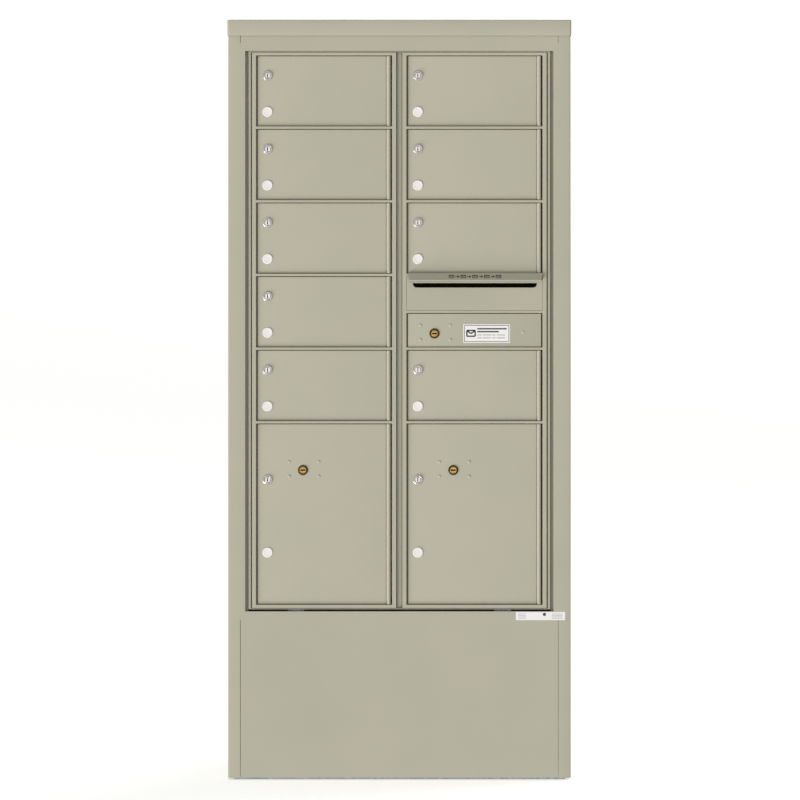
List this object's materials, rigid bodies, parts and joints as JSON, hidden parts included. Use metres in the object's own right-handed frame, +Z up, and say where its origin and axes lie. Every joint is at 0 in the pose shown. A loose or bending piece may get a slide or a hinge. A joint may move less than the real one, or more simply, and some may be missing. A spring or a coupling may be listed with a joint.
{
  "type": "cluster mailbox unit",
  "caption": "Free-standing sheet-metal mailbox cabinet with two columns of hinged locking doors, parcel doors, an outgoing slot and hinged master frames.",
  "frame": {"origin": "on the floor at the centre of the whole footprint, hood lip included", "axes": "+Z up, front with the doors facing -Y, +X to the right as seen from the front"},
  "size_m": [0.8316, 0.52, 1.834],
  "materials": {
    "powder_coat": "sandstone powder coat, satin with fine orange peel",
    "inner_powder_coat": "thin powder coat inside the module",
    "zinc_plated_steel": "zinc plated",
    "lock_chrome": "chrome-plated lock",
    "brass": "lacquered brass"
  },
  "bodies": {
    "cabinet": {"base_plate": "zinc_plated_steel", "left_side_panel": "powder_coat", "right_side_panel": "powder_coat", "back_panel": "powder_coat", "front_panel": "powder_coat", "roof_cap": "powder_coat", "module_platform": "zinc_plated_steel", "module_case": "inner_powder_coat", "centre_mullion": "inner_powder_coat", "centre_divider": "inner_powder_coat", "left_shelf_1": "zinc_plated_steel", "left_shelf_2": "zinc_plated_steel", "left_shelf_3": "zinc_plated_steel", "left_shelf_4": "zinc_plated_steel", "left_shelf_5": "zinc_plated_steel", "right_shelf_1": "zinc_plated_steel", "right_shelf_2": "zinc_plated_steel", "right_shelf_3": "zinc_plated_steel", "right_shelf_4": "zinc_plated_steel", "right_shelf_5": "zinc_plated_steel", "left_master_pivot_pin": "zinc_plated_steel", "right_master_pivot_pin": "zinc_plated_steel"},
    "left_master": {"left_master_frame": "powder_coat", "left_door_hinge_rod": "zinc_plated_steel"},
    "right_master": {"right_master_frame": "powder_coat", "right_door_hinge_rod": "zinc_plated_steel", "outgoing_mail_panel": "powder_coat", "outgoing_mail_hood": "powder_coat"},
    "left_door_1": {"left_door_1": "powder_coat"},
    "left_door_2": {"left_door_2": "powder_coat"},
    "left_door_3": {"left_door_3": "powder_coat"},
    "left_door_4": {"left_door_4": "powder_coat"},
    "left_door_5": {"left_door_5": "powder_coat"},
    "left_parcel_door": {"left_parcel_door": "powder_coat", "left_parcel_postal_lock_barrel": "brass"},
    "right_door_1": {"right_door_1": "powder_coat"},
    "right_door_2": {"right_door_2": "powder_coat"},
    "right_door_3": {"right_door_3": "powder_coat"},
    "right_access_door": {"right_access_door": "powder_coat", "right_access_lock_barrel": "brass"},
    "right_door_4": {"right_door_4": "powder_coat"},
    "right_parcel_door": {"right_parcel_door": "powder_coat", "right_parcel_postal_lock_barrel": "brass"},
    "left_door_1_lock": {"left_door_1_lock": "lock_chrome"},
    "left_door_2_lock": {"left_door_2_lock": "lock_chrome"},
    "left_door_3_lock": {"left_door_3_lock": "lock_chrome"},
    "left_door_4_lock": {"left_door_4_lock": "lock_chrome"},
    "left_door_5_lock": {"left_door_5_lock": "lock_chrome"},
    "left_parcel_door_lock": {"left_parcel_door_lock": "lock_chrome"},
    "left_parcel_postal_lock_plug": {"left_parcel_postal_lock_plug": "brass"},
    "right_door_1_lock": {"right_door_1_lock": "lock_chrome"},
    "right_door_2_lock": {"right_door_2_lock": "lock_chrome"},
    "right_door_3_lock": {"right_door_3_lock": "lock_chrome"},
    "right_access_lock_plug": {"right_access_lock_plug": "brass"},
    "right_door_4_lock": {"right_door_4_lock": "lock_chrome"},
    "right_parcel_door_lock": {"right_parcel_door_lock": "lock_chrome"},
    "right_parcel_postal_lock_plug": {"right_parcel_postal_lock_plug": "brass"},
    "right_latch": {"right_latch_bar": "zinc_plated_steel"},
    "left_latch": {"left_latch_bar": "zinc_plated_steel"}
  },
  "joints": [
    {"name": "left_master_hinge", "type": "hinge", "parent": "cabinet", "child": "left_master", "pos_m": [-0.351, -0.24, 0], "axis": [0, 0, -1], "range_deg": [0, 90]},
    {"name": "right_master_hinge", "type": "hinge", "parent": "cabinet", "child": "right_master", "pos_m": [0.351, -0.24, 0], "axis": [0, 0, 1], "range_deg": [0, 90]},
    {"name": "left_door_1_hinge", "type": "hinge", "parent": "left_master", "child": "left_door_1", "pos_m": [-0.0254, -0.24, 0], "axis": [0, 0, 1], "range_deg": [0, 90]},
    {"name": "left_door_2_hinge", "type": "hinge", "parent": "left_master", "child": "left_door_2", "pos_m": [-0.0254, -0.24, 0], "axis": [0, 0, 1], "range_deg": [0, 90]},
    {"name": "left_door_3_hinge", "type": "hinge", "parent": "left_master", "child": "left_door_3", "pos_m": [-0.0254, -0.24, 0], "axis": [0, 0, 1], "range_deg": [0, 90]},
    {"name": "left_door_4_hinge", "type": "hinge", "parent": "left_master", "child": "left_door_4", "pos_m": [-0.0254, -0.24, 0], "axis": [0, 0, 1], "range_deg": [0, 90]},
    {"name": "left_door_5_hinge", "type": "hinge", "parent": "left_master", "child": "left_door_5", "pos_m": [-0.0254, -0.24, 0], "axis": [0, 0, 1], "range_deg": [0, 90]},
    {"name": "left_parcel_door_hinge", "type": "hinge", "parent": "left_master", "child": "left_parcel_door", "pos_m": [-0.0254, -0.24, 0], "axis": [0, 0, 1], "range_deg": [0, 90]},
    {"name": "right_door_1_hinge", "type": "hinge", "parent": "right_master", "child": "right_door_1", "pos_m": [0.3376, -0.24, 0], "axis": [0, 0, 1], "range_deg": [0, 90]},
    {"name": "right_door_2_hinge", "type": "hinge", "parent": "right_master", "child": "right_door_2", "pos_m": [0.3376, -0.24, 0], "axis": [0, 0, 1], "range_deg": [0, 90]},
    {"name": "right_door_3_hinge", "type": "hinge", "parent": "right_master", "child": "right_door_3", "pos_m": [0.3376, -0.24, 0], "axis": [0, 0, 1], "range_deg": [0, 90]},
    {"name": "right_access_door_hinge", "type": "hinge", "parent": "right_master", "child": "right_access_door", "pos_m": [0.3376, -0.24, 0], "axis": [0, 0, 1], "range_deg": [0, 90]},
    {"name": "right_door_4_hinge", "type": "hinge", "parent": "right_master", "child": "right_door_4", "pos_m": [0.3376, -0.24, 0], "axis": [0, 0, 1], "range_deg": [0, 90]},
    {"name": "right_parcel_door_hinge", "type": "hinge", "parent": "right_master", "child": "right_parcel_door", "pos_m": [0.3376, -0.24, 0], "axis": [0, 0, 1], "range_deg": [0, 90]},
    {"name": "left_door_1_lock_turn", "type": "hinge", "parent": "left_door_1", "child": "left_door_1_lock", "pos_m": [-0.3183, -0.245, 1.69945], "axis": [0, 1, 0], "range_deg": [0, 90]},
    {"name": "left_door_2_lock_turn", "type": "hinge", "parent": "left_door_2", "child": "left_door_2_lock", "pos_m": [-0.3183, -0.245, 1.5219], "axis": [0, 1, 0], "range_deg": [0, 90]},
    {"name": "left_door_3_lock_turn", "type": "hinge", "parent": "left_door_3", "child": "left_door_3_lock", "pos_m": [-0.3183, -0.245, 1.3441], "axis": [0, 1, 0], "range_deg": [0, 90]},
    {"name": "left_door_4_lock_turn", "type": "hinge", "parent": "left_door_4", "child": "left_door_4_lock", "pos_m": [-0.3183, -0.245, 1.1663], "axis": [0, 1, 0], "range_deg": [0, 90]},
    {"name": "left_door_5_lock_turn", "type": "hinge", "parent": "left_door_5", "child": "left_door_5_lock", "pos_m": [-0.3183, -0.245, 0.9885], "axis": [0, 1, 0], "range_deg": [0, 90]},
    {"name": "left_parcel_door_lock_turn", "type": "hinge", "parent": "left_parcel_door", "child": "left_parcel_door_lock", "pos_m": [-0.3183, -0.245, 0.72375], "axis": [0, 1, 0], "range_deg": [0, 90]},
    {"name": "left_parcel_postal_lock_plug_turn", "type": "hinge", "parent": "left_parcel_door", "child": "left_parcel_postal_lock_plug", "pos_m": [-0.2328, -0.245, 0.74675], "axis": [0, 1, 0], "range_deg": [0, 90]},
    {"name": "right_door_1_lock_turn", "type": "hinge", "parent": "right_door_1", "child": "right_door_1_lock", "pos_m": [0.0447, -0.245, 1.69945], "axis": [0, 1, 0], "range_deg": [0, 90]},
    {"name": "right_door_2_lock_turn", "type": "hinge", "parent": "right_door_2", "child": "right_door_2_lock", "pos_m": [0.0447, -0.245, 1.5219], "axis": [0, 1, 0], "range_deg": [0, 90]},
    {"name": "right_door_3_lock_turn", "type": "hinge", "parent": "right_door_3", "child": "right_door_3_lock", "pos_m": [0.0447, -0.245, 1.3441], "axis": [0, 1, 0], "range_deg": [0, 90]},
    {"name": "right_access_lock_plug_turn", "type": "hinge", "parent": "right_access_door", "child": "right_access_lock_plug", "pos_m": [0.0846, -0.245, 1.07665], "axis": [0, 1, 0], "range_deg": [0, 90]},
    {"name": "right_door_4_lock_turn", "type": "hinge", "parent": "right_door_4", "child": "right_door_4_lock", "pos_m": [0.0447, -0.245, 0.9885], "axis": [0, 1, 0], "range_deg": [0, 90]},
    {"name": "right_parcel_door_lock_turn", "type": "hinge", "parent": "right_parcel_door", "child": "right_parcel_door_lock", "pos_m": [0.0447, -0.245, 0.72375], "axis": [0, 1, 0], "range_deg": [0, 90]},
    {"name": "right_parcel_postal_lock_plug_turn", "type": "hinge", "parent": "right_parcel_door", "child": "right_parcel_postal_lock_plug", "pos_m": [0.1302, -0.245, 0.74675], "axis": [0, 1, 0], "range_deg": [0, 90]},
    {"name": "right_latch_slide", "type": "slide", "parent": "right_master", "child": "right_latch", "axis": [0, 0, 1], "range_m": [0, 0.014]},
    {"name": "left_latch_slide", "type": "slide", "parent": "left_master", "child": "left_latch", "axis": [0, 0, 1], "range_m": [0, 0.014]}
  ]
}
